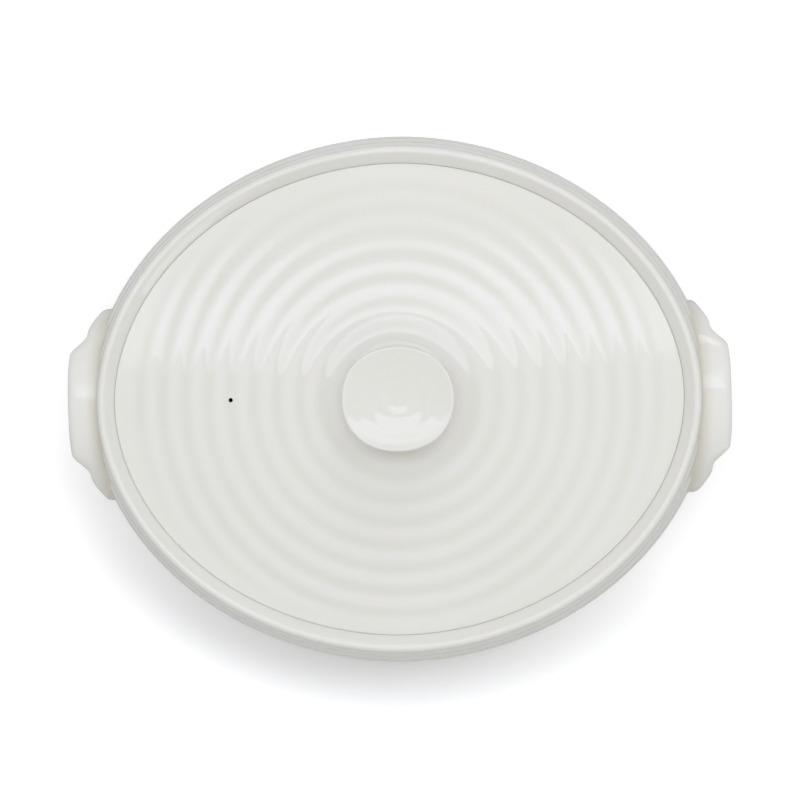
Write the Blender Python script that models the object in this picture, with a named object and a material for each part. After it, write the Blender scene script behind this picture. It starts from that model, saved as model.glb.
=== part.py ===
"""Covered oval casserole in glazed porcelain: a dish with two lug handles, a rippled lid and its knob.

Metres, +Z up. The origin is on the table under the middle of the dish and +X runs along its length.
The dish, the handles, the lid and the knob are formed apart and luted together before firing, so each
is its own object. Their joints keep a small gap, and the lid lifts straight up off the gallery.
"""

import math

import bmesh
import bpy

MM = 0.001
GAP = 0.35 * MM
HANDLE_GAP = 0.7 * MM

# Lip line of the dish, seen from above: a slightly slim superellipse.
LIP_HALF_LENGTH = 158.4 * MM
LIP_HALF_WIDTH = 132.3 * MM
OVAL_POWER = 1.935
LIP_HEIGHT = 88 * MM
DEEPEST_INSET = -40 * MM
SEGMENTS = 64

# Outer wall. Offsets are measured outwards from the lip line.
CREASE_HEIGHT = 80.5 * MM
CREASE_OFFSET = 2.7 * MM
BELLY_HEIGHT = 44 * MM
BELLY_OFFSET = 10.9 * MM
SHOULDER_POWER = 1.6
FOOT_TOP = 5 * MM
FOOT_OFFSET = -24 * MM
FOOT_WIDTH = 6.5 * MM
RIPPLE_PITCH = 12.6 * MM
WALL_RIPPLE = 0.6 * MM

# Inside of the dish, and the gallery that the lid sits in.
LEDGE_HEIGHT = 77.5 * MM
LEDGE_INNER = -12.6 * MM
NECK_OFFSET = -13.2 * MM
NECK_HEIGHT = 73 * MM
INNER_BELLY = 3.8 * MM
FLOOR_HEIGHT = 11 * MM
FLOOR_OFFSET = -36 * MM

# Lid.
LID_OFFSET = -6.8 * MM
LID_HALF_LENGTH = LIP_HALF_LENGTH + LID_OFFSET
LID_HALF_WIDTH = LIP_HALF_WIDTH + LID_OFFSET
LID_EDGE_HEIGHT = 83.5 * MM
LID_RISE = 17.5 * MM
LID_THICKNESS = 5 * MM
LID_RIPPLE = 0.25 * MM
LID_PITCH = 12.25 * MM
FIRST_CREST = 36.3 * MM
ROUND_RIPPLES = 6
FLANGE_BOTTOM = 70.8 * MM
VENT_RADIUS = 1.1 * MM
VENT_CENTRE = (-88.7 * MM, 1.5 * MM)

# Knob.
KNOB_HALF_LENGTH = 29.2 * MM
KNOB_HALF_WIDTH = 27.2 * MM
KNOB_POWER = 2.15
KNOB_SEGMENTS = 40

# Handles. Each is an arch that stands off the end wall and comes down to two feet.
GRIP_REACH = 178 * MM
ARCH_TOP = 75 * MM
ARCH_DROP = 34 * MM
ARCH_HALF_SPAN = 48.5 * MM
ARCH_END = math.radians(83)
GRIP_THICKNESS = 9.4 * MM
FOOT_THICKNESS = 8.6 * MM
HANDLE_STATIONS = 30
SECTION_POWER = 3.2
RIGHT_HANDLE_Y = -2 * MM
LEFT_HANDLE_Y = 0.8 * MM

PORCELAIN = (0.80, 0.79, 0.75, 1)
LID_WHITE = (0.81, 0.80, 0.76, 1)
HANDLE_WHITE = (0.78, 0.77, 0.73, 1)
KNOB_WHITE = (0.82, 0.81, 0.77, 1)


def smooth(low, high, value):
    share = min(max((value - low) / (high - low), 0), 1)
    return share * share * (3 - 2 * share)


def signed_power(value, power):
    return math.copysign(abs(value) ** power, value)


def superellipse(angle, half_length, half_width, power):
    return (
        half_length * signed_power(math.cos(angle), 2 / power),
        half_width * signed_power(math.sin(angle), 2 / power),
    )


def oval(angle, offset):
    """Point at this angle on the lip line, moved outwards along the line's normal."""
    x, y = superellipse(angle, LIP_HALF_LENGTH, LIP_HALF_WIDTH, OVAL_POWER)
    nx = signed_power(x / LIP_HALF_LENGTH, OVAL_POWER - 1) / LIP_HALF_LENGTH
    ny = signed_power(y / LIP_HALF_WIDTH, OVAL_POWER - 1) / LIP_HALF_WIDTH
    length = math.hypot(nx, ny)
    return x + offset * nx / length, y + offset * ny / length


def turn(segments):
    return [math.tau * i / segments for i in range(segments)]


def oval_ring(offset, height):
    return [(*oval(angle, offset), height) for angle in turn(SEGMENTS)]


def inner_ring(share, height):
    """Ring that shrinks the innermost oval towards the middle."""
    ring = oval_ring(DEEPEST_INSET, height)
    return [(x * share, y * share, z) for x, y, z in ring]


def wall_offset(height):
    """How far the outer wall stands outside the lip line at this height."""
    if height > BELLY_HEIGHT:
        rise = (height - BELLY_HEIGHT) / (CREASE_HEIGHT - BELLY_HEIGHT)
        plain = BELLY_OFFSET - (BELLY_OFFSET - CREASE_OFFSET) * rise**SHOULDER_POWER
    else:
        fall = min((BELLY_HEIGHT - height) / (BELLY_HEIGHT - FOOT_TOP), 1)
        plain = FOOT_OFFSET + (BELLY_OFFSET - FOOT_OFFSET) * math.sqrt(1 - fall * fall)
    below = CREASE_HEIGHT - height
    fade = smooth(0, RIPPLE_PITCH / 2, below) * smooth(FOOT_TOP, BELLY_HEIGHT / 2, height)
    return plain - WALL_RIPPLE * fade * math.cos(math.tau * below / RIPPLE_PITCH)


def wall_reach(y, height):
    """How far along X the outer wall is, at this place beside the middle."""
    offset = wall_offset(height)
    share = 1 - (abs(y) / (LIP_HALF_WIDTH + offset)) ** OVAL_POWER
    return (LIP_HALF_LENGTH + offset) * share ** (1 / OVAL_POWER)


def dome(x, y):
    """Height of the lid's upper face without its ripples."""
    share = abs(x / LID_HALF_LENGTH) ** OVAL_POWER + abs(y / LID_HALF_WIDTH) ** OVAL_POWER
    return LID_EDGE_HEIGHT + LID_RISE * (1 - share ** (2 / OVAL_POWER))


def porcelain(name, colour, roughness):
    material = bpy.data.materials.new(name)
    material.use_nodes = True
    material.diffuse_color = colour
    shader = material.node_tree.nodes["Principled BSDF"]
    shader.inputs["Base Color"].default_value = colour
    shader.inputs["Roughness"].default_value = roughness
    shader.inputs["Metallic"].default_value = 0
    return material


def loft(name, rings, collection, material):
    """Closed skin over these rings, each end filled with a fan."""
    shape = bmesh.new()
    loops = [[shape.verts.new(point) for point in ring] for ring in rings]
    for first, second in zip(loops, loops[1:]):
        for i in range(len(first)):
            shape.faces.new((first[i - 1], first[i], second[i], second[i - 1]))
    for loop, ring in ((loops[0], rings[0]), (loops[-1], rings[-1])):
        centre = [sum(axis) / len(ring) for axis in zip(*ring)]
        middle = shape.verts.new(centre)
        for i in range(len(loop)):
            shape.faces.new((loop[i - 1], loop[i], middle))
    bmesh.ops.recalc_face_normals(shape, faces=shape.faces)
    mesh = bpy.data.meshes.new(name)
    shape.to_mesh(mesh)
    shape.free()
    mesh.shade_smooth()
    mesh.set_sharp_from_angle(angle=math.radians(40))
    mesh.materials.append(material)
    piece = bpy.data.objects.new(name, mesh)
    collection.objects.link(piece)
    return piece


def foot_rings():
    """The recessed underside, the foot ring that the dish stands on, and its outer edge."""
    inner = FOOT_OFFSET - FOOT_WIDTH
    return [
        inner_ring(1, FOOT_TOP),
        oval_ring(inner - 3 * MM, 4.2 * MM),
        oval_ring(inner - 1 * MM, 0.8 * MM),
        oval_ring(inner, 0),
        oval_ring(FOOT_OFFSET - 1.6 * MM, 0),
        oval_ring(FOOT_OFFSET - 0.8 * MM, 0.8 * MM),
    ]


def wall_rings():
    """The belly up to the crease, with a ring on each crest and in each hollow of its ripples."""
    half_ripples = 12
    heights = [CREASE_HEIGHT - RIPPLE_PITCH / 2 * i for i in range(half_ripples)]
    heights += [FOOT_TOP + 3.2 * MM, FOOT_TOP + 1.2 * MM, FOOT_TOP + 0.2 * MM]
    return [oval_ring(wall_offset(height), height) for height in reversed(heights)]


def lip_rings():
    return [
        oval_ring(3.0 * MM, 82.6 * MM),
        oval_ring(3.0 * MM, 85.3 * MM),
        oval_ring(2.1 * MM, 87.2 * MM),
        oval_ring(0.3 * MM, LIP_HEIGHT),
        oval_ring(-1.9 * MM, 87.2 * MM),
        oval_ring(-5.2 * MM, 84.7 * MM),
        oval_ring(LID_OFFSET + 0.5 * MM, 82.8 * MM),
        oval_ring(LID_OFFSET + 0.4 * MM, LEDGE_HEIGHT + 0.4 * MM),
        oval_ring(LID_OFFSET - 0.2 * MM, LEDGE_HEIGHT),
        oval_ring(LEDGE_INNER, LEDGE_HEIGHT),
        oval_ring(NECK_OFFSET, LEDGE_HEIGHT - 0.8 * MM),
    ]


def inside_rings():
    """From the neck under the gallery, out to the belly and down to the floor."""
    rings = []
    neck_steps = 4
    for i in range(neck_steps):
        turned = math.pi / 2 * i / neck_steps
        height = BELLY_HEIGHT + (NECK_HEIGHT - BELLY_HEIGHT) * math.cos(turned)
        offset = NECK_OFFSET + (INNER_BELLY - NECK_OFFSET) * math.sin(turned) ** 1.2
        rings.append(oval_ring(offset, height))
    floor_steps = 6
    for i in range(floor_steps + 1):
        turned = math.pi / 2 * i / floor_steps
        height = BELLY_HEIGHT - (BELLY_HEIGHT - FLOOR_HEIGHT) * math.sin(turned)
        offset = FLOOR_OFFSET + (INNER_BELLY - FLOOR_OFFSET) * math.cos(turned)
        rings.append(oval_ring(offset, height))
    rings.append(inner_ring(0.6, FLOOR_HEIGHT - 0.6 * MM))
    return rings


def make_dish(collection):
    rings = foot_rings() + wall_rings() + lip_rings() + inside_rings()
    return loft("dish", rings, collection, porcelain("dish glaze", PORCELAIN, 0.12))


def lid_top_rings():
    """Ripples that run round the knob, then rings that widen from round to the oval edge."""
    rings = []
    for radius in (0.45 * FIRST_CREST, 0.66 * FIRST_CREST):
        circle = [superellipse(angle, radius, radius, 2) for angle in turn(SEGMENTS)]
        rings.append([(x, y, dome(x, y)) for x, y in circle])
    for i in range(2 * ROUND_RIPPLES + 1):
        radius = FIRST_CREST + LID_PITCH * (i - 1) / 2
        lift = LID_RIPPLE if i % 2 else -LID_RIPPLE
        circle = [superellipse(angle, radius, radius, 2) for angle in turn(SEGMENTS)]
        rings.append([(x, y, dome(x, y) + lift) for x, y in circle])
    edge = [oval(angle, LID_OFFSET - 3 * MM) for angle in turn(SEGMENTS)]
    widening_steps = 3
    for i in range(1, widening_steps + 1):
        share = i / widening_steps
        ring = []
        for angle, (edge_x, edge_y) in zip(turn(SEGMENTS), edge):
            x, y = superellipse(angle, radius, radius, 2)
            x += (edge_x - x) * share
            y += (edge_y - y) * share
            ring.append((x, y, dome(x, y)))
        rings.append(ring)
    return rings


def lid_edge_rings():
    """The rounded edge, the face that rests on the gallery, and the flange that keeps the lid in place."""
    seat = LEDGE_HEIGHT + GAP
    return [
        oval_ring(LID_OFFSET - 0.9 * MM, LID_EDGE_HEIGHT - 0.2 * MM),
        oval_ring(LID_OFFSET, LID_EDGE_HEIGHT - 1.6 * MM),
        oval_ring(LID_OFFSET - 0.1 * MM, seat + 1 * MM),
        oval_ring(LID_OFFSET - 1.0 * MM, seat),
        oval_ring(NECK_OFFSET - 0.6 * MM, seat),
        oval_ring(NECK_OFFSET - 1.4 * MM, seat - 1.2 * MM),
        oval_ring(NECK_OFFSET - 1.6 * MM, FLANGE_BOTTOM + 1 * MM),
        oval_ring(NECK_OFFSET - 2.4 * MM, FLANGE_BOTTOM),
        oval_ring(NECK_OFFSET - 4.4 * MM, FLANGE_BOTTOM),
        oval_ring(NECK_OFFSET - 5.3 * MM, FLANGE_BOTTOM + 1 * MM),
        oval_ring(NECK_OFFSET - 6.0 * MM, seat - 0.6 * MM),
    ]


def lid_under_rings():
    rings = []
    for points in (oval_ring(NECK_OFFSET - 10 * MM, 0), oval_ring(DEEPEST_INSET, 0)):
        rings.append([(x, y, dome(x, y) - LID_THICKNESS) for x, y, _ in points])
    for share in (0.78, 0.56, 0.34, 0.14):
        rings.append([(x, y, dome(x, y) - LID_THICKNESS) for x, y, _ in inner_ring(share, 0)])
    return rings


def make_lid(collection, cutters):
    rings = lid_top_rings() + lid_edge_rings() + lid_under_rings()
    lid = loft("lid", rings, collection, porcelain("lid glaze", LID_WHITE, 0.1))
    bpy.ops.mesh.primitive_cylinder_add(
        vertices=16,
        radius=VENT_RADIUS,
        depth=40 * MM,
        location=(*VENT_CENTRE, LID_EDGE_HEIGHT + LID_RISE / 2),
    )
    drill = bpy.context.object
    drill.name = "vent_drill"
    for home in drill.users_collection:
        home.objects.unlink(drill)
    cutters.objects.link(drill)
    drill.hide_render = True
    drill.display_type = "WIRE"
    vent = lid.modifiers.new("steam vent", "BOOLEAN")
    vent.operation = "DIFFERENCE"
    vent.solver = "EXACT"
    vent.object = drill
    return lid


def make_knob(collection):
    """Each step is the ring's share of the rim's size and its height above the top of the dome."""
    steps = (
        (0.66, 3.0),
        (0.58, 5.6),
        (0.54, 9.4),
        (0.57, 13.0),
        (0.67, 16.5),
        (0.82, 19.2),
        (0.95, 21.7),
        (1.00, 24.4),
        (0.995, 26.6),
        (0.96, 27.8),
        (0.92, 27.7),
        (0.72, 26.7),
        (0.50, 25.9),
        (0.25, 25.3),
    )
    rim = [
        superellipse(angle, KNOB_HALF_LENGTH, KNOB_HALF_WIDTH, KNOB_POWER)
        for angle in turn(KNOB_SEGMENTS)
    ]
    rings = []
    for share in (0.2, 0.5, 0.82):
        rings.append([(x * share, y * share, dome(x * share, y * share) + GAP) for x, y in rim])
    for share, height in steps:
        top = LID_EDGE_HEIGHT + LID_RISE + height * MM
        rings.append([(x * share, y * share, top) for x, y in rim])
    return loft("lid_knob", rings, collection, porcelain("knob glaze", KNOB_WHITE, 0.1))


def arch_point(turned):
    """Middle of the handle's strap at this angle round its half oval, as Y and height."""
    return ARCH_HALF_SPAN * math.sin(turned), ARCH_TOP - ARCH_DROP * (1 - math.cos(turned))


def strap_reach(y):
    """How far along X the strap's outer edge is: proud at the grip, stepped in at the feet."""
    round_off = 0.8 * MM * smooth(16 * MM, 30 * MM, abs(y))
    step = 8.8 * MM * smooth(26.5 * MM, 38 * MM, abs(y))
    taper = 7 * MM * smooth(38 * MM, 56 * MM, abs(y))
    return GRIP_REACH - round_off - step - taper


def strap_section(share, middle):
    """Ring round the strap: a flattened half round outside, and the wall's own shape inside.

    middle is how far the strap's middle is beside the dish's long axis.
    """
    turned = ARCH_END * share
    y, height = arch_point(turned)
    tangent_y = ARCH_HALF_SPAN * math.cos(turned)
    tangent_z = -ARCH_DROP * math.sin(turned)
    along = math.hypot(tangent_y, tangent_z)
    up_y = -tangent_z / along
    up_z = tangent_y / along
    past = max(abs(share) - 1, 0) * ARCH_END * along
    half = (GRIP_THICKNESS + (FOOT_THICKNESS - GRIP_THICKNESS) * min(abs(share), 1)) / 2
    half *= math.sqrt(1 - (past / half) ** 2)
    outside = [math.radians(a) for a in range(-90, 91, 20)]
    section = [
        (math.cos(a) ** (2 / SECTION_POWER), signed_power(math.sin(a), 2 / SECTION_POWER))
        for a in outside
    ]
    section += [(0, 0.5), (0, 0), (0, -0.5)]
    ring = []
    for out, side in section:
        point_y = y + up_y * half * side
        point_z = height + up_z * half * side
        near = wall_reach(point_y + middle, point_z) + HANDLE_GAP
        depth = max(strap_reach(point_y) - near, 2 * MM)
        ring.append((near + depth * out, point_y + middle, point_z))
    return ring


def make_handle(name, collection, facing, middle):
    """facing is 1 for the end at +X and -1 for the end at -X, and middle is the handle's own Y."""
    rings = []
    past_end = 1 + 0.4 * FOOT_THICKNESS / (ARCH_DROP * ARCH_END)
    for i in range(HANDLE_STATIONS + 1):
        share = past_end * math.sin(math.pi * (i / HANDLE_STATIONS - 0.5))
        section = strap_section(share, facing * middle)
        rings.append([(facing * x, facing * y, z) for x, y, z in section])
    return loft(name, rings, collection, porcelain(name + " glaze", HANDLE_WHITE, 0.12))


def main():
    for old in list(bpy.data.objects):
        bpy.data.objects.remove(old)
    parts = bpy.data.collections.new("covered_casserole_dish")
    cutters = bpy.data.collections.new("cutters")
    cutters.hide_render = True
    bpy.context.scene.collection.children.link(parts)
    bpy.context.scene.collection.children.link(cutters)
    make_dish(parts)
    make_handle("right_handle", parts, 1, RIGHT_HANDLE_Y)
    make_handle("left_handle", parts, -1, LEFT_HANDLE_Y)
    make_lid(parts, cutters)
    make_knob(parts)


main()
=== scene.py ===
"""Looks of the covered casserole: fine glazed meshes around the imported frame, a pale floor and soft light."""

import math

import bmesh
import bpy
import numpy as np
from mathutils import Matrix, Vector


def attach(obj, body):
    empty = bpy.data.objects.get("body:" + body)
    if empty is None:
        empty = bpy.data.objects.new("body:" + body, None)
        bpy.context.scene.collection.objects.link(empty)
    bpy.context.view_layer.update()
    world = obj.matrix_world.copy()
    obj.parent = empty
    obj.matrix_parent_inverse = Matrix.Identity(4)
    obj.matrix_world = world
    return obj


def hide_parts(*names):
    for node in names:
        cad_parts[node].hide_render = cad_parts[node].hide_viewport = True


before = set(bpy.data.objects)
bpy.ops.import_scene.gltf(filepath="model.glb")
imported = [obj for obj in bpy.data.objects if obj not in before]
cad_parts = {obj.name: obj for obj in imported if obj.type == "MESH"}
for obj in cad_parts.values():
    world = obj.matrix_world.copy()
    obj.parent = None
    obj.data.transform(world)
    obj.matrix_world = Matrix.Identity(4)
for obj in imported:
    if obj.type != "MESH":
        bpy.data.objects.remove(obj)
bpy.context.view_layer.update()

MM = 0.001

# The dish. Offsets are measured outwards from the lip line, seen from above, and heights from the floor.
LIP_HALF_LENGTH = 158.4 * MM
LIP_HALF_WIDTH = 132.3 * MM
OVAL_POWER = 1.935
LIP_HEIGHT = 88 * MM
DEEPEST_INSET = -40 * MM
CREASE_HEIGHT = 80.5 * MM
CREASE_OFFSET = 2.65 * MM
BELLY_HEIGHT = 44 * MM
BELLY_OFFSET = 10.8 * MM
SHOULDER_POWER = 1.6
FOOT_TOP = 5 * MM
FOOT_OFFSET = -24 * MM
FOOT_WIDTH = 6.5 * MM
RIPPLE_PITCH = 12.6 * MM
WALL_RIPPLE = 0.55 * MM
WALL_SWAY = 0.12 * MM
WALL_INSET = 0.1 * MM
LEDGE_HEIGHT = 77.5 * MM
NECK_OFFSET = -13.2 * MM
NECK_HEIGHT = 73 * MM
INNER_BELLY = 3.8 * MM
FLOOR_HEIGHT = 11 * MM
FLOOR_OFFSET = -36 * MM
FLOOR_SAG = 0.6 * MM
GALLERY_TOP = 84 * MM

# The lid, whose surface rings are circles out to ROUND_RADIUS and then pass into its oval.
LID_OFFSET = -6.8 * MM
LID_HALF_LENGTH = LIP_HALF_LENGTH + LID_OFFSET
LID_HALF_WIDTH = LIP_HALF_WIDTH + LID_OFFSET
LID_EDGE_HEIGHT = 83.5 * MM
LID_RISE = 17.3 * MM
LID_THICKNESS = 5 * MM
LID_RIPPLE = 0.15 * MM
LID_PITCH = 12.25 * MM
LID_GAP = 0.35 * MM
FIRST_CREST = 36.3 * MM
ROUND_RADIUS = 60 * MM
BRIM_WIDTH = 1.2 * MM
FLANGE_BOTTOM = 70.9 * MM
# How far the lid's glaze pooling and painted shade are moved inwards from its grooves.
POOL_SHADE_SHIFT = 2 * MM
VENT_RADIUS = 1.15 * MM
VENT_CENTRE = (-88.7 * MM, 1.5 * MM)
VENT_DRILL = 30 * MM

# The knob.
KNOB_HALF_LENGTH = 29.2 * MM
KNOB_HALF_WIDTH = 27.2 * MM
KNOB_POWER = 2.15
KNOB_SHIFT = 0.3 * MM
KNOB_ROOT = 28 * MM
KNOB_SINK = 1.2 * MM
KNOB_RIPPLE = 0.035 * MM

# The handles: a strap bent round a half oval, whose ends stop ARCH_END from its top.
GRIP_REACH = 177.8 * MM
ARCH_TOP = 75 * MM
ARCH_DROP = 34 * MM
ARCH_HALF_SPAN = 48.5 * MM
ARCH_END = math.radians(83)
STRAP_RINGS = 200
STRAP_POINTS = 64
GRIP_THICKNESS = 9.4 * MM
FOOT_THICKNESS = 8.6 * MM
SECTION_POWER = 3.2
FILLET = 1.6 * MM
FILLET_POINTS = 12
WALL_OVERLAP = 2 * MM
LEAST_DEPTH = 2.5 * MM
ROOT_DEPTH = 7 * MM
RIGHT_HANDLE_Y = -2.0 * MM
LEFT_HANDLE_Y = 0.8 * MM

# Points round each ring, and the value of the mask for glaze pooling and painted shade on a plain inner
# surface.
COLUMNS = 384
KNOB_COLUMNS = 192
FLAT_GLAZE = 0.3

# Brightness of the sky and the key, and the key's edges as slopes away from straight up: crisp in front,
# soft behind and at both ends.
HORIZON_LIGHT = 0.12
ZENITH_LIGHT = 1.10
KEY_LIGHT = 2.65
KEY_TINT = (0.93, 0.98, 1.16)
KEY_FRONT = (0.1205, 0.1235)
KEY_BACK = (0.20, 0.46)
KEY_ENDS = (0.3, 0.9)

# The floor as the camera sees it, in the open and in the shade in front of the dish, and as the dish sees it.
FLOOR_OPEN = (0.98, 0.975, 0.955)
FLOOR_SHADED = (0.87, 0.866, 0.852)
FLOOR_BOUNCE = (0.66, 0.66, 0.66)
FLOOR_GLOW = 0.2

# The glaze, and what its colour is multiplied by where it pools and shade is painted into it, and where the
# handles leave the wall, where a darker, warmer shade is painted.
WHITE = (0.786, 0.775, 0.734)
POOL_AND_SHADE = (0.972, 0.975, 0.950)
ROOT_POOL_AND_SHADE = (0.86, 0.83, 0.75)
BARE_CLAY = (0.62, 0.58, 0.50)
GLOSS = (0.02, 0.04)
GLAZE_IOR = 1.4


def smooth(low, high, value):
    share = np.clip((value - low) / (high - low), 0, 1)
    return share * share * (3 - 2 * share)


def signed_power(value, power):
    return np.sign(value) * np.abs(value) ** power


def turn(count):
    return np.arange(count) * math.tau / count


def superellipse(angle, half_length, half_width, power):
    return (
        half_length * signed_power(np.cos(angle), 2 / power),
        half_width * signed_power(np.sin(angle), 2 / power),
    )


def oval(angle, offset):
    """Points at these angles on the lip line, moved outwards along its normal."""
    x, y = superellipse(angle, LIP_HALF_LENGTH, LIP_HALF_WIDTH, OVAL_POWER)
    nx = signed_power(x / LIP_HALF_LENGTH, OVAL_POWER - 1) / LIP_HALF_LENGTH
    ny = signed_power(y / LIP_HALF_WIDTH, OVAL_POWER - 1) / LIP_HALF_WIDTH
    length = np.hypot(nx, ny)
    return x + offset * nx / length, y + offset * ny / length


def spline(points, spacing):
    """Smooth open curve through these points, as points this far apart."""
    points = np.array(points, float)
    padded = np.vstack([2 * points[0] - points[1], points, 2 * points[-1] - points[-2]])
    fine = []
    for before, start, end, after in zip(padded, padded[1:], padded[2:], padded[3:]):
        for t in np.linspace(0, 1, 24, endpoint=False):
            fine.append(
                0.5 * (2 * start + (end - before) * t
                + (2 * before - 5 * start + 4 * end - after) * t**2
                + (3 * start - before - 3 * end + after) * t**3)
            )
    fine.append(points[-1])
    fine = np.array(fine)
    along = np.concatenate([[0], np.cumsum(np.linalg.norm(np.diff(fine, axis=0), axis=1))])
    places = np.linspace(0, along[-1], max(int(along[-1] / spacing), 2) + 1)
    return np.column_stack([np.interp(places, along, column) for column in fine.T])


def waver(x, y, seed):
    """Slow unevenness between -1 and 1 that a thrown and hand-finished form has."""
    u, v = x * 23 + seed, y * 27 - seed
    return (np.sin(u + 1.7 * np.sin(v * 0.7)) + np.sin(1.3 * v - 1.1 * np.sin(u * 0.9 + 2))) / 2


def skin(name, rings, pooling_shade):
    """Closed mesh over these rings. The last argument tells, from 0 to 1 at each point, how deep the glaze lies
    and how much painted shade darkens it.
    """
    count, around = len(rings), len(rings[0])
    points = np.concatenate(rings)
    index = np.arange(count * around).reshape(count, around)
    after = np.roll(index, -1, axis=1)
    quads = np.stack([index[:-1], after[:-1], after[1:], index[1:]], axis=-1).reshape(-1, 4)
    faces = quads.tolist()
    centres = [rings[0].mean(axis=0), rings[-1].mean(axis=0)]
    points = np.vstack([points, *centres])
    first, last = count * around, count * around + 1
    faces += [[after[0, i], index[0, i], first] for i in range(around)]
    faces += [[index[-1, i], after[-1, i], last] for i in range(around)]
    mesh = bpy.data.meshes.new(name)
    mesh.from_pydata(points.tolist(), [], faces)
    depth = np.concatenate([*pooling_shade, [pooling_shade[0].mean()], [pooling_shade[-1].mean()]])
    # The mask for glaze pooling and painted shade, read by the glaze material.
    layer = mesh.attributes.new("pooling_and_shade", "FLOAT", "POINT")
    layer.data.foreach_set("value", depth.astype(np.float32))
    shape = bmesh.new()
    shape.from_mesh(mesh)
    bmesh.ops.recalc_face_normals(shape, faces=shape.faces)
    shape.to_mesh(mesh)
    shape.free()
    mesh.shade_smooth()
    piece = bpy.data.objects.new(name, mesh)
    bpy.context.scene.collection.objects.link(piece)
    return piece


# ---------------------------------------------------------------- dish


def ripple_wave(below):
    return np.cos(math.tau * below / RIPPLE_PITCH)


def wall_offset(height):
    """How far the outer wall stands outside the lip line at this height."""
    height = np.asarray(height, float)
    rise = np.clip((height - BELLY_HEIGHT) / (CREASE_HEIGHT - BELLY_HEIGHT), 0, 1)
    upper = BELLY_OFFSET - (BELLY_OFFSET - CREASE_OFFSET) * rise**SHOULDER_POWER
    fall = np.clip((BELLY_HEIGHT - height) / (BELLY_HEIGHT - FOOT_TOP), 0, 1)
    lower = FOOT_OFFSET + (BELLY_OFFSET - FOOT_OFFSET) * np.sqrt(1 - fall * fall)
    plain = np.where(height > BELLY_HEIGHT, upper, lower)
    below = CREASE_HEIGHT - height
    fade = smooth(0, RIPPLE_PITCH / 2, below) * smooth(FOOT_TOP, BELLY_HEIGHT / 2, height)
    return plain - WALL_RIPPLE * fade * ripple_wave(below)


def wall_reach(y, height):
    """How far along X the outer wall is, at this place beside the middle."""
    offset = wall_offset(np.minimum(height, CREASE_HEIGHT))
    share = 1 - (np.abs(y) / (LIP_HALF_WIDTH + offset)) ** OVAL_POWER
    return (LIP_HALF_LENGTH + offset) * share ** (1 / OVAL_POWER)


def dish_profile():
    """(offset, height) from under the floor, round the foot, up the wall, over the lip and down inside."""
    inner_foot = FOOT_OFFSET - FOOT_WIDTH
    foot = spline(
        [
            (DEEPEST_INSET, FOOT_TOP),
            (inner_foot - 5 * MM, 4.9 * MM),
            (inner_foot - 3 * MM, 4.0 * MM),
            (inner_foot - 1.6 * MM, 1.7 * MM),
            (inner_foot - 0.8 * MM, 0.4 * MM),
            (inner_foot, 0),
            (inner_foot + 2.5 * MM, 0),
            (FOOT_OFFSET - 1.6 * MM, 0),
            (FOOT_OFFSET - 0.9 * MM, 0.5 * MM),
            (FOOT_OFFSET - 0.5 * MM, 2.0 * MM),
            (FOOT_OFFSET, 4.2 * MM),
        ],
        0.8 * MM,
    )
    quadrant = np.linspace(0.03, 0.5 * math.pi, 44)
    low = BELLY_HEIGHT - (BELLY_HEIGHT - FOOT_TOP) * np.cos(quadrant)
    high = np.linspace(BELLY_HEIGHT, CREASE_HEIGHT, 40)[1:]
    heights = np.concatenate([low, high])
    wall = np.column_stack([wall_offset(heights), heights])
    lip = spline(
        [
            (2.55 * MM, 81.3 * MM),
            (2.35 * MM, 82.3 * MM),
            (2.45 * MM, 83.4 * MM),
            (2.60 * MM, 84.6 * MM),
            (2.40 * MM, 85.8 * MM),
            (1.80 * MM, 86.9 * MM),
            (0.9 * MM, 87.7 * MM),
            (-0.2 * MM, LIP_HEIGHT),
            (-1.3 * MM, 87.8 * MM),
            (-2.3 * MM, 87.1 * MM),
            (-3.4 * MM, 86.25 * MM),
            (-4.7 * MM, 85.2 * MM),
            (-5.9 * MM, 84.2 * MM),
            (-6.6 * MM, 83.5 * MM),
            (-6.74 * MM, 83.0 * MM),
            (-6.74 * MM, 80.0 * MM),
            (-6.8 * MM, 78.6 * MM),
            (-7.1 * MM, 77.8 * MM),
            (-7.9 * MM, LEDGE_HEIGHT),
            (-10 * MM, LEDGE_HEIGHT),
            (-12.0 * MM, LEDGE_HEIGHT),
            (-12.8 * MM, 77.2 * MM),
            (NECK_OFFSET, 76.3 * MM),
            (NECK_OFFSET, 74.5 * MM),
        ],
        0.5 * MM,
    )
    rise = np.linspace(0, math.pi / 2, 24)[:-1]
    upper_inside = np.column_stack([
        NECK_OFFSET + (INNER_BELLY - NECK_OFFSET) * np.sin(rise) ** 1.2,
        BELLY_HEIGHT + (NECK_HEIGHT - BELLY_HEIGHT) * np.cos(rise),
    ])
    fall = np.linspace(0, math.pi / 2, 36)
    lower_inside = np.column_stack([
        FLOOR_OFFSET + (INNER_BELLY - FLOOR_OFFSET) * np.cos(fall),
        BELLY_HEIGHT - (BELLY_HEIGHT - FLOOR_HEIGHT) * np.sin(fall),
    ])
    return np.vstack([foot, wall, lip, upper_inside, lower_inside])


def dish_pooling_and_shade(height, outside):
    """Glaze pooling with painted shade: deep in the grooves of the wall, under the lip and in the gallery, and
    thin and lighter on the crests.
    """
    if not outside and height < GALLERY_TOP:
        return 1 - 0.5 * float(smooth(77 * MM, 66 * MM, height))
    if CREASE_HEIGHT < height < CREASE_HEIGHT + 3 * MM:
        return 1
    if 12 * MM < height < CREASE_HEIGHT:
        return 0.5 + 0.5 * ripple_wave(CREASE_HEIGHT - height)
    return FLAT_GLAZE


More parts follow.
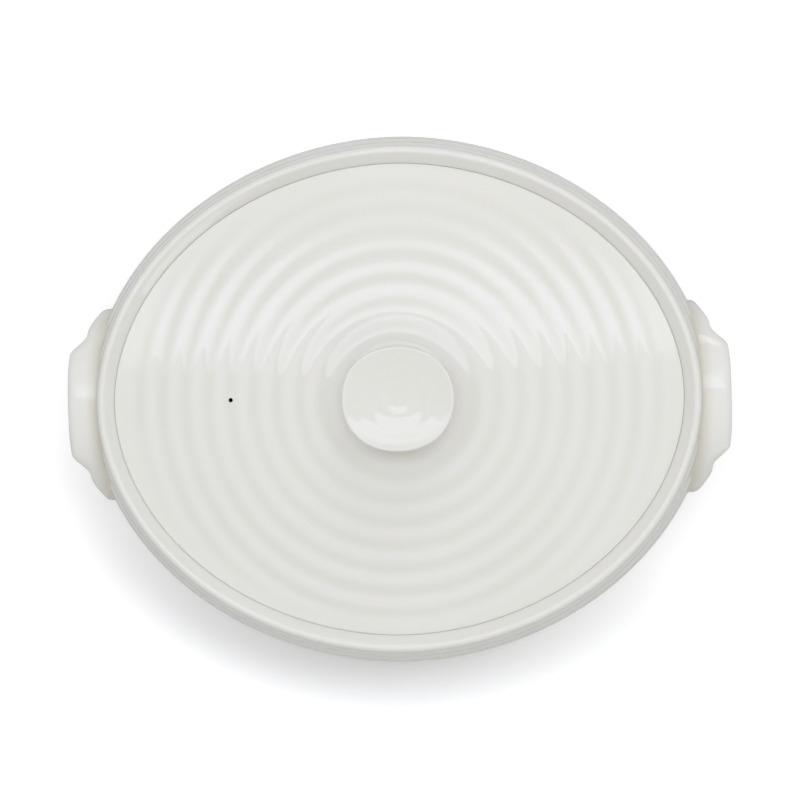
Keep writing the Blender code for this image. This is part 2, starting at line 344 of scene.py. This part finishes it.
def make_dish():
    angle = turn(COLUMNS)
    rings, pooling_shade = [], []
    deepest_x, deepest_y = oval(angle, DEEPEST_INSET)
    for share in np.linspace(0.05, 0.97, 8):
        rings.append(np.column_stack([deepest_x * share, deepest_y * share, np.full(COLUMNS, FOOT_TOP)]))
        pooling_shade.append(np.zeros(COLUMNS))
    outside = True
    for offset, height in dish_profile():
        if height > LIP_HEIGHT - 0.1 * MM:
            outside = False
        shift = 0
        if outside:
            x, y = oval(angle, offset)
            shift = WALL_SWAY * waver(x, y + height, 1.0) * smooth(6 * MM, 20 * MM, height)
        if outside and height < LIP_HEIGHT - 8 * MM:
            shift = shift - WALL_INSET
        x, y = oval(angle, offset + shift)
        rings.append(np.column_stack([x, y, np.full(COLUMNS, max(height, 0))]))
        pooling_shade.append(np.full(COLUMNS, dish_pooling_and_shade(height, outside)))
    for share in np.linspace(0.98, 0.05, 10):
        sag = FLOOR_SAG * (1 - share)
        height = np.full(COLUMNS, FLOOR_HEIGHT - sag)
        rings.append(np.column_stack([deepest_x * share, deepest_y * share, height]))
        pooling_shade.append(np.full(COLUMNS, FLAT_GLAZE))
    return skin("dish_body", rings, pooling_shade)


# ---------------------------------------------------------------- lid


def edge_share(x, y):
    """How far out on the lid a point is, from 0 at the middle to 1 at the edge."""
    share = np.abs(x / LID_HALF_LENGTH) ** OVAL_POWER + np.abs(y / LID_HALF_WIDTH) ** OVAL_POWER
    return share ** (1 / OVAL_POWER)


def dome(x, y):
    """Height of the lid's upper face without its ripples."""
    return LID_EDGE_HEIGHT + LID_RISE * (1 - edge_share(x, y) ** 2)


def lid_wave(x, y, ahead=0.0):
    """Ripples in rings round the knob, uneven and fainter at the back, as a share of their height.

    ahead moves the pattern inwards, so that the pooled glaze and its painted shade lie darkest on the outward
    slope of each ripple.
    """
    radius = np.hypot(x, y) + ahead
    wander = 0.5 * MM * waver(x, y, 4.0)
    fade = smooth(22 * MM, 31 * MM, radius) * (1 - smooth(0.88, 0.985, edge_share(x, y)))
    strength = 1 + 0.22 * waver(x * 1.4, y * 1.4, 9.0) - 0.4 * smooth(70 * MM, 105 * MM, y)
    return fade * strength * np.cos(math.tau * (radius + wander - FIRST_CREST) / LID_PITCH)


def lid_top(x, y):
    return dome(x, y) + LID_RIPPLE * lid_wave(x, y)


def make_lid():
    angle = turn(COLUMNS)
    rings, pooling_shade = [], []
    circle_x, circle_y = superellipse(angle, ROUND_RADIUS, ROUND_RADIUS, 2)
    edge_x, edge_y = oval(angle, LID_OFFSET - BRIM_WIDTH)
    places = [(circle_x * share, circle_y * share) for share in np.linspace(0.02, 1, 50)]
    for share in np.linspace(0, 1, 84)[1:]:
        places.append((circle_x + (edge_x - circle_x) * share, circle_y + (edge_y - circle_y) * share))
    for x, y in places:
        rings.append(np.column_stack([x, y, lid_top(x, y)]))
        # Glaze pooling with painted shade in the lid's ripples.
        pooling_shade.append(0.5 - 0.5 * lid_wave(x, y, POOL_SHADE_SHIFT))
    brim = float(dome(LID_HALF_LENGTH - BRIM_WIDTH, 0))
    seat = LEDGE_HEIGHT + LID_GAP
    edge = spline(
        [
            (LID_OFFSET - 0.38 * MM, brim - 0.06 * MM),
            (LID_OFFSET - 0.10 * MM, brim - 0.24 * MM),
            (LID_OFFSET - 0.02 * MM, brim - 0.60 * MM),
            (LID_OFFSET - 0.1 * MM, seat + 1.2 * MM),
            (LID_OFFSET - 0.5 * MM, seat + 0.35 * MM),
            (LID_OFFSET - 1.2 * MM, seat),
            (NECK_OFFSET + 2 * MM, seat),
            (NECK_OFFSET - 0.4 * MM, seat),
            (NECK_OFFSET - 1.1 * MM, seat - 0.5 * MM),
            (NECK_OFFSET - 1.45 * MM, seat - 1.6 * MM),
            (NECK_OFFSET - 1.6 * MM, FLANGE_BOTTOM + 1.4 * MM),
            (NECK_OFFSET - 2.1 * MM, FLANGE_BOTTOM + 0.35 * MM),
            (NECK_OFFSET - 3.3 * MM, FLANGE_BOTTOM),
            (NECK_OFFSET - 4.6 * MM, FLANGE_BOTTOM + 0.35 * MM),
            (NECK_OFFSET - 5.2 * MM, FLANGE_BOTTOM + 1.4 * MM),
            (NECK_OFFSET - 5.7 * MM, seat - 1.0 * MM),
            (NECK_OFFSET - 7.0 * MM, seat + 0.9 * MM),
        ],
        0.5 * MM,
    )
    # Round the edge and the flange the glaze pools and shade is painted, most below the brim.
    for offset, height in edge:
        x, y = oval(angle, offset)
        rings.append(np.column_stack([x, y, np.full(COLUMNS, height)]))
        pooling_shade.append(np.full(COLUMNS, 0.6 if height > brim - 0.5 * MM else 1.0))
    under_x, under_y = oval(angle, NECK_OFFSET - 10 * MM)
    for share in np.linspace(1, 0.04, 60):
        x, y = under_x * share, under_y * share
        rings.append(np.column_stack([x, y, dome(x, y) - LID_THICKNESS]))
        pooling_shade.append(np.full(COLUMNS, FLAT_GLAZE))
    lid = skin("lid_cover", rings, pooling_shade)
    drill_vent(lid)
    lid.data.set_sharp_from_angle(angle=math.radians(50))
    return lid


def drill_vent(lid):
    """Cuts the steam vent through the cover."""
    bpy.ops.mesh.primitive_cylinder_add(
        vertices=40, radius=VENT_RADIUS, depth=VENT_DRILL, location=(*VENT_CENTRE, LID_EDGE_HEIGHT + 10 * MM)
    )
    drill = bpy.context.object
    vent = lid.modifiers.new("steam vent", "BOOLEAN")
    vent.operation = "DIFFERENCE"
    vent.solver = "EXACT"
    vent.object = drill
    graph = bpy.context.evaluated_depsgraph_get()
    drilled = bpy.data.meshes.new_from_object(lid.evaluated_get(graph))
    lid.modifiers.clear()
    lid.data = drilled
    bpy.data.objects.remove(drill)


# ---------------------------------------------------------------- knob


def make_knob():
    """Round where it leaves the lid, and the rim's own oval from the neck upwards."""
    angle = turn(KNOB_COLUMNS)
    rim_x, rim_y = superellipse(angle, KNOB_HALF_LENGTH, KNOB_HALF_WIDTH, KNOB_POWER)
    apex = LID_EDGE_HEIGHT + LID_RISE
    # (radius, rise above the lid's apex) in millimetres, from the lid up over the rim to the middle.
    steps = spline(
        [
            (29.2, -0.6),
            (28.6, -0.05),
            (27.4, 0.2),
            (25.4, 0.6),
            (22.8, 1.35),
            (19.6, 2.7),
            (17.0, 5.2),
            (15.8, 8.8),
            (16.4, 12.6),
            (19.2, 16.2),
            (23.8, 19.2),
            (27.4, 21.8),
            (28.9, 24.4),
            (29.2, 26.1),
            (29.05, 27.05),
            (28.6, 27.55),
            (27.95, 27.7),
            (27.1, 27.5),
            (25.0, 27.12),
            (21.0, 26.6),
            (16.0, 26.05),
            (11.0, 25.6),
            (6.0, 25.24),
            (3.5, 25.1),
            (0.4, 25.02),
        ],
        0.4,
    )
    rings, pooling_shade = [], []
    for share in (0.1, 0.4, 0.7, 1.0):
        x, y = superellipse(angle, KNOB_ROOT * share, KNOB_ROOT * share, 2)
        rings.append(np.column_stack([x + KNOB_SHIFT, y, dome(x, y) - KNOB_SINK]))
        pooling_shade.append(np.full(KNOB_COLUMNS, 0.6))
    for radius, rise in steps:
        on_top = rise > 24
        share = radius * MM / KNOB_HALF_LENGTH
        roundness = smooth(14, 4, rise)
        circle_x, circle_y = superellipse(angle, radius * MM, radius * MM, 2)
        x = rim_x * share * (1 - roundness) + circle_x * roundness
        y = rim_y * share * (1 - roundness) + circle_y * roundness
        follow = smooth(6, 0, rise)
        height = apex + rise * MM + (dome(x, y) - apex) * follow
        if rise < 0:
            height = height - 0.2 * MM * smooth(0, -0.9, rise)
        if on_top:
            height = height + KNOB_RIPPLE * math.cos(math.tau * radius / 7.6) * smooth(25, 20, radius)
        rings.append(np.column_stack([x + KNOB_SHIFT, y, height]))
        # Glaze pooling with painted shade in the dish of the top and round the foot where the knob meets the
        # lid.
        pooled_and_shaded = smooth(28.6, 26.8, radius) if on_top else smooth(9, 2, rise)
        pooling_shade.append(np.full(KNOB_COLUMNS, 0.75 * float(pooled_and_shaded)))
    return skin("knob", rings, pooling_shade)


# ---------------------------------------------------------------- handles


def arch_point(turned):
    """Middle of the handle's strap, as Y and height, at this angle round its half oval."""
    return ARCH_HALF_SPAN * math.sin(turned), ARCH_TOP - ARCH_DROP * (1 - math.cos(turned))


def strap_reach(y):
    """How far along X the strap's outer edge is: proud at the grip, stepped in at the feet."""
    round_off = 0.8 * MM * smooth(16 * MM, 30 * MM, np.abs(y))
    step = 8.8 * MM * smooth(26.5 * MM, 38 * MM, np.abs(y))
    taper = 7 * MM * smooth(38 * MM, 56 * MM, np.abs(y))
    return GRIP_REACH - round_off - step - taper


def strap_section(share, middle):
    """Ring round the strap, with a fillet where it meets the wall and its back sunk into the wall.

    middle is how far the strap's middle is beside the dish's long axis. The second result is the mask for glaze
    pooling and painted shade at each point: strongest close to the wall.
    """
    turned = ARCH_END * share
    y, height = arch_point(turned)
    tangent_y, tangent_z = ARCH_HALF_SPAN * math.cos(turned), -ARCH_DROP * math.sin(turned)
    along = math.hypot(tangent_y, tangent_z)
    up_y, up_z = -tangent_z / along, tangent_y / along
    half = (GRIP_THICKNESS + (FOOT_THICKNESS - GRIP_THICKNESS) * min(abs(share), 1)) / 2
    past = max(abs(share) - 1, 0) * ARCH_END * along
    half = half * math.sqrt(max(1 - (past / (1.02 * half)) ** 2, 0.0004))
    fillet = FILLET * min(half / (4 * MM), 1)
    arc = np.linspace(0, math.pi / 2, FILLET_POINTS)
    lower_out, lower_side = fillet * (1 - np.cos(arc)), -half - fillet + fillet * np.sin(arc)
    around = np.linspace(-math.pi / 2, math.pi / 2, STRAP_POINTS)[1:-1]
    share_out = np.cos(around) ** (2 / SECTION_POWER)
    middle_side = half * signed_power(np.sin(around), 2 / SECTION_POWER)
    side = np.concatenate([lower_side, middle_side, -lower_side[::-1]])
    point_y, point_z = y + up_y * side, height + up_z * side
    wall = wall_reach(point_y + middle, point_z)
    depth = np.maximum(strap_reach(point_y) - wall, LEAST_DEPTH)
    middle_depth = depth[FILLET_POINTS:-FILLET_POINTS]
    middle_out = fillet + (middle_depth - fillet) * share_out
    out = np.concatenate([lower_out, middle_out, lower_out[::-1]]) - 0.15 * MM
    out[[0, -1]] -= 0.5 * MM
    if past > 0:
        out = out * math.sqrt(half / (0.5 * FOOT_THICKNESS))
    back_side = half * np.array([0.6, 0, -0.6])
    back_y, back_z = y + up_y * back_side, height + up_z * back_side
    back_x = wall_reach(back_y + middle, back_z) - WALL_OVERLAP
    ring = np.column_stack([
        np.concatenate([wall + out, back_x]),
        np.concatenate([point_y, back_y]) + middle,
        np.concatenate([point_z, back_z]),
    ])
    # Glaze pooling with painted shade, strongest where the strap leaves the wall.
    root_pool_shade = np.concatenate([1 - np.clip(out / ROOT_DEPTH, 0, 1), np.ones(len(back_side))])
    return ring, root_pool_shade * 0.9


def make_handle(name, facing, middle):
    """facing is 1 for the end at +X and -1 for the end at -X, and middle is the handle's own Y."""
    rings, pooling_shade = [], []
    past_end = 1 + 0.5 * FOOT_THICKNESS / (ARCH_DROP * ARCH_END)
    for share in np.sin(np.linspace(-0.5, 0.5, STRAP_RINGS) * math.pi) * past_end:
        ring, root_pool_shade = strap_section(float(share), facing * middle)
        rings.append(ring * np.array([facing, facing, 1]))
        pooling_shade.append(root_pool_shade)
    return skin(name, rings, pooling_shade)


# ---------------------------------------------------------------- materials


def link(tree, start, end):
    tree.links.new(start, end)


def node(tree, kind, **settings):
    made = tree.nodes.new(kind)
    for name, value in settings.items():
        setattr(made, name, value)
    return made


def ramp(tree, factor, stops):
    made = tree.nodes.new("ShaderNodeValToRGB")
    for element, (place, colour) in zip(made.color_ramp.elements, stops):
        element.position = place
        element.color = (*colour, 1)
    link(tree, factor, made.inputs["Fac"])
    return made.outputs["Color"]


def noise(tree, vector, scale, detail):
    made = tree.nodes.new("ShaderNodeTexNoise")
    made.inputs["Scale"].default_value = scale
    made.inputs["Detail"].default_value = detail
    link(tree, vector, made.inputs["Vector"])
    return made.outputs["Fac"]


def mix(tree, factor, first, second, blend="MIX"):
    made = node(tree, "ShaderNodeMix", data_type="RGBA", blend_type=blend)
    if isinstance(factor, float):
        made.inputs["Factor"].default_value = factor
    else:
        link(tree, factor, made.inputs["Factor"])
    for value, socket in ((first, made.inputs["A"]), (second, made.inputs["B"])):
        if isinstance(value, tuple):
            socket.default_value = (*value, 1)
        else:
            link(tree, value, socket)
    return made.outputs["Result"]


def calculate(tree, operation, *values):
    made = node(tree, "ShaderNodeMath", operation=operation)
    for socket, value in zip(made.inputs, values):
        link(tree, value, socket)
    return made.outputs["Value"]


def spread(tree, value, low, high, to_low, to_high, shape="LINEAR"):
    """The value's place between low and high, carried over to between to_low and to_high."""
    made = node(tree, "ShaderNodeMapRange", interpolation_type=shape)
    for name, number in (("From Min", low), ("From Max", high), ("To Min", to_low), ("To Max", to_high)):
        made.inputs[name].default_value = number
    link(tree, value, made.inputs["Value"])
    return made.outputs["Result"]


def glaze(name, pool_and_shade=POOL_AND_SHADE, foot=False):
    """Clear gloss glaze on white porcelain: deeper and warmer where it pools and where shade is painted into
    it, and faintly uneven.

    foot leaves the lowest millimetre unglazed, where the dish stands.
    """
    material = bpy.data.materials.new(name)
    material.use_nodes = True
    tree = material.node_tree
    shader = tree.nodes["Principled BSDF"]
    place = tree.nodes.new("ShaderNodeTexCoord").outputs["Object"]
    # Mask for glaze pooling and painted shade: lighter where low, darker and warmer where high.
    depth = node(tree, "ShaderNodeAttribute", attribute_name="pooling_and_shade").outputs["Fac"]
    thin_and_lit = tuple(value * 1.015 for value in WHITE)
    pooled_and_shaded = tuple(value * share for value, share in zip(WHITE, pool_and_shade))
    body = mix(tree, depth, thin_and_lit, pooled_and_shaded)
    cloud = ramp(tree, noise(tree, place, 18, 4), ((0.3, (0.985, 0.985, 0.975)), (0.75, (1.0, 1.0, 1.0))))
    body = mix(tree, 1.0, body, cloud, "MULTIPLY")
    speck = noise(tree, place, 900, 2)
    pinhole = ramp(tree, speck, ((0.73, (1, 1, 1)), (0.80, (0.80, 0.76, 0.68))))
    body = mix(tree, 0.35, body, pinhole, "MULTIPLY")
    rough = spread(tree, noise(tree, place, 60, 5), 0.3, 0.7, *GLOSS)
    if foot:
        height = node(tree, "ShaderNodeSeparateXYZ")
        link(tree, place, height.inputs["Vector"])
        wiped = spread(tree, height.outputs["Z"], 1.2 * MM, 0.6 * MM, 0, 1)
        body = mix(tree, wiped, body, BARE_CLAY)
        roughen = node(tree, "ShaderNodeMix", data_type="FLOAT")
        link(tree, wiped, roughen.inputs["Factor"])
        link(tree, rough, roughen.inputs["A"])
        roughen.inputs["B"].default_value = 0.7
        rough = roughen.outputs["Result"]
    link(tree, body, shader.inputs["Base Color"])
    link(tree, rough, shader.inputs["Roughness"])
    peel = node(tree, "ShaderNodeBump")
    peel.inputs["Strength"].default_value = 0.05
    peel.inputs["Distance"].default_value = 0.12 * MM
    link(tree, noise(tree, place, 170, 2), peel.inputs["Height"])
    link(tree, peel.outputs["Normal"], shader.inputs["Normal"])
    shader.inputs["IOR"].default_value = GLAZE_IOR
    shader.inputs["Subsurface Weight"].default_value = 0.12
    shader.inputs["Subsurface Radius"].default_value = (1.0, 0.75, 0.5)
    shader.inputs["Subsurface Scale"].default_value = 4 * MM
    return material


# ---------------------------------------------------------------- pieces


def place_piece(piece, body, nodes, material):
    piece.data.materials.clear()
    piece.data.materials.append(material)
    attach(piece, body)
    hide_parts(*nodes)


place_piece(make_dish(), "dish", ["dish"], glaze("dish_glaze", foot=True))
# The handles' glaze is darker and warmer where they leave the wall: pooling and painted shade.
right_lug = make_handle("right_lug", 1, RIGHT_HANDLE_Y)
place_piece(right_lug, "dish", ["right_handle"], glaze("right_lug_glaze", ROOT_POOL_AND_SHADE))
left_lug = make_handle("left_lug", -1, LEFT_HANDLE_Y)
place_piece(left_lug, "dish", ["left_handle"], glaze("left_lug_glaze", ROOT_POOL_AND_SHADE))
place_piece(make_lid(), "lid", ["lid"], glaze("lid_glaze"))
place_piece(make_knob(), "lid", ["lid_knob"], glaze("knob_glaze"))


# ---------------------------------------------------------------- floor, light and camera


def floor_shade(tree):
    """The soft shade in front of the dish, from 0 in the open to 1 close to its wall."""
    place = tree.nodes.new("ShaderNodeTexCoord").outputs["Object"]
    scaled = node(tree, "ShaderNodeVectorMath", operation="MULTIPLY")
    link(tree, place, scaled.inputs[0])
    half_length, half_width = LIP_HALF_LENGTH + BELLY_OFFSET, LIP_HALF_WIDTH + BELLY_OFFSET
    scaled.inputs[1].default_value = (1 / half_length, 1 / half_width, 0)
    away = node(tree, "ShaderNodeVectorMath", operation="LENGTH")
    link(tree, scaled.outputs["Vector"], away.inputs[0])
    front = node(tree, "ShaderNodeVectorMath", operation="DOT_PRODUCT")
    link(tree, place, front.inputs[0])
    front.inputs[1].default_value = (-0.25, -1, 0)
    close = spread(tree, away.outputs["Value"], 1.07, 1.27, 1, 0, "SMOOTHSTEP")
    ahead = spread(tree, front.outputs["Value"], 60 * MM, 175 * MM, 0, 1)
    return calculate(tree, "MULTIPLY", close, ahead)


def make_floor():
    """Pale floor that looks white from the camera and throws a little less light back on the dish."""
    bpy.ops.mesh.primitive_plane_add(size=12, location=(0, 0, 0))
    floor = bpy.context.object
    floor.name = "floor"
    material = bpy.data.materials.new("pale_floor")
    material.use_nodes = True
    tree = material.node_tree
    shader = tree.nodes["Principled BSDF"]
    seen = tree.nodes.new("ShaderNodeLightPath").outputs["Is Camera Ray"]
    shade = floor_shade(tree)
    pale = mix(tree, shade, FLOOR_OPEN, FLOOR_SHADED)
    link(tree, mix(tree, seen, FLOOR_BOUNCE, pale), shader.inputs["Base Color"])
    shader.inputs["Roughness"].default_value = 0.9
    shader.inputs["Specular IOR Level"].default_value = 0.1
    shader.inputs["Emission Color"].default_value = (1, 1, 1, 1)
    glow = calculate(tree, "MULTIPLY", spread(tree, shade, 0, 1, FLOOR_GLOW, 0), seen)
    link(tree, glow, shader.inputs["Emission Strength"])
    floor.data.materials.append(material)


def softbox(name, place, width, depth, radiance):
    """Soft rectangle whose width stays level, facing the middle of the floor."""
    light = bpy.data.lights.new(name, "AREA")
    light.shape = "RECTANGLE"
    light.size = width
    light.size_y = depth
    light.energy = radiance * math.pi * width * depth
    lamp = bpy.data.objects.new(name, light)
    lamp.location = place
    toward = -Vector(place)
    turned = math.atan2(-toward.x, toward.y)
    tilt = math.atan2(toward.xy.length, -toward.z)
    lamp.rotation_euler = (tilt, 0, turned)
    bpy.context.scene.collection.objects.link(lamp)


def make_light():
    """A sky that dims towards the horizon, with a broad soft key whose lower edge is crisp.

    The camera itself sees a white backdrop above the horizon.
    """
    world = bpy.data.worlds.new("studio")
    world.use_nodes = True
    tree = world.node_tree
    parts = node(tree, "ShaderNodeSeparateXYZ")
    link(tree, tree.nodes.new("ShaderNodeTexCoord").outputs["Generated"], parts.inputs["Vector"])
    up = parts.outputs["Z"]
    forward = calculate(tree, "DIVIDE", parts.outputs["Y"], up)
    aside = calculate(tree, "ABSOLUTE", calculate(tree, "DIVIDE", parts.outputs["X"], up))
    key = spread(tree, up, 0.3, 0.4, 0, 1)
    key = calculate(tree, "MULTIPLY", key, spread(tree, forward, *KEY_FRONT, 0, 1))
    key = calculate(tree, "MULTIPLY", key, spread(tree, forward, *KEY_BACK, 1, 0, "SMOOTHSTEP"))
    key = calculate(tree, "MULTIPLY", key, spread(tree, aside, *KEY_ENDS, 1, 0, "SMOOTHSTEP"))
    sky = spread(tree, up, 0, 1, HORIZON_LIGHT, ZENITH_LIGHT)
    background = tree.nodes["Background"]
    link(tree, mix(tree, key, (1.0, 1.0, 1.0), KEY_TINT), background.inputs["Color"])
    brightness = calculate(tree, "ADD", sky, spread(tree, key, 0, 1, 0, KEY_LIGHT))
    backdrop = tree.nodes.new("ShaderNodeLightPath").outputs["Is Camera Ray"]
    link(tree, calculate(tree, "MAXIMUM", brightness, backdrop), background.inputs["Strength"])
    bpy.context.scene.world = world
    softbox("back_softbox", place=(0.45, 1.9, 1.3), width=1.3, depth=0.4, radiance=3.6)
    softbox("front_softbox", place=(1.2, -1.6, 0.8), width=1.2, depth=0.25, radiance=2.6)


def make_camera():
    """Looks straight down, from slightly to the right of the middle."""
    lip_to_camera = 1.4
    aside = 26 * MM
    frame_width = 424.4 * MM
    sensor = 36
    roll = math.radians(-1.35)
    target = Vector((0.7 * MM, -1.1 * MM, LIP_HEIGHT))
    data = bpy.data.cameras.new("camera")
    data.sensor_width = sensor
    data.lens = sensor * lip_to_camera / frame_width
    camera = bpy.data.objects.new("camera", data)
    camera.location = target + Vector((aside, 0, lip_to_camera))
    tilt = math.atan2(aside, lip_to_camera)
    camera.rotation_euler = (0, tilt, roll)
    bpy.context.scene.collection.objects.link(camera)
    bpy.context.scene.camera = camera


make_floor()
make_light()
make_camera()
bpy.context.scene.view_settings.view_transform = "Standard"
